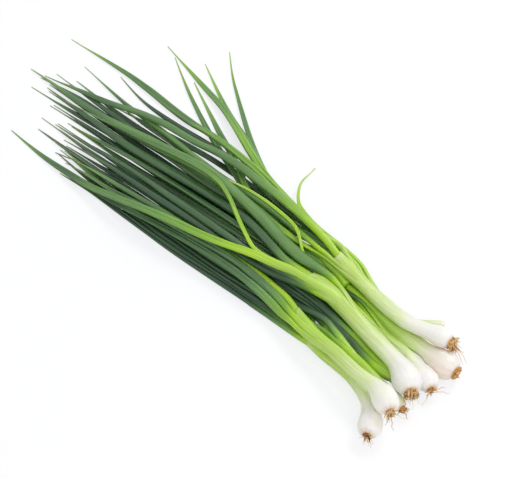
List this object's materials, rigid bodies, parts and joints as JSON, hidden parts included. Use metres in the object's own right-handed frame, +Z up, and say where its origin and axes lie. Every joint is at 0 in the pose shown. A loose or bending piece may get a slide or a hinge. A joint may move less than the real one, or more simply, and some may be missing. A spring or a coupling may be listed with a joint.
{
  "type": "bunch of spring onions",
  "caption": "Loose bunch of spring onions lying on its side, with round white bulbs, tufts of short roots, pale sheaths and long tapering green leaves that fan out.",
  "frame": {"origin": "on the surface the bunch lies on, under the middle of its footprint", "axes": "+X along the bunch from the bulbs to the leaf tips, +Y across it towards the side of the plants whose leaves fan least, +Z up"},
  "size_m": [0.476, 0.2474, 0.0321],
  "materials": {
    "sheath": "smooth, slightly glossy plant skin, white at the bulb and pale green above",
    "root": "dry and fibrous",
    "blade": "waxy green leaf with a dull bloom and fine lengthwise ribs"
  },
  "bodies": {
    "root": {"onion_1_stem": "sheath", "onion_1_roots": "root", "onion_1_leaf_1": "blade", "onion_1_leaf_2": "blade", "onion_2_stem": "sheath", "onion_2_roots": "root", "onion_2_leaf_1": "blade", "onion_2_leaf_2": "blade", "onion_2_leaf_3": "blade", "onion_3_stem": "sheath", "onion_3_roots": "root", "onion_3_leaf_1": "blade", "onion_3_leaf_2": "blade", "onion_3_leaf_3": "blade", "onion_3_leaf_4": "blade", "onion_3_leaf_5": "blade", "onion_4_stem": "sheath", "onion_4_roots": "root", "onion_4_leaf_1": "blade", "onion_4_leaf_2": "blade", "onion_4_leaf_3": "blade", "onion_4_leaf_4": "blade", "onion_4_leaf_5": "blade", "onion_4_leaf_6": "blade", "onion_4_leaf_7": "blade", "onion_5_stem": "sheath", "onion_5_leaf_1": "blade", "onion_5_leaf_2": "blade", "onion_5_leaf_3": "blade", "onion_6_stem": "sheath", "onion_6_roots": "root", "onion_6_leaf_1": "blade", "onion_6_leaf_2": "blade", "onion_6_leaf_3": "blade", "onion_6_leaf_4": "blade", "onion_6_leaf_5": "blade", "onion_7_stem": "sheath", "onion_7_roots": "root", "onion_7_leaf_1": "blade", "onion_7_leaf_2": "blade", "onion_7_leaf_3": "blade", "onion_7_leaf_4": "blade", "onion_7_leaf_5": "blade", "onion_7_leaf_6": "blade", "onion_7_leaf_7": "blade", "onion_8_stem": "sheath", "onion_8_roots": "root", "onion_8_leaf_1": "blade", "onion_8_leaf_2": "blade", "onion_8_leaf_3": "blade", "onion_8_leaf_4": "blade", "onion_8_leaf_5": "blade", "onion_9_stem": "sheath", "onion_9_leaf_1": "blade", "onion_9_leaf_2": "blade", "onion_9_leaf_3": "blade", "onion_9_leaf_4": "blade", "onion_9_leaf_5": "blade", "onion_9_leaf_6": "blade"}
  },
  "joints": []
}
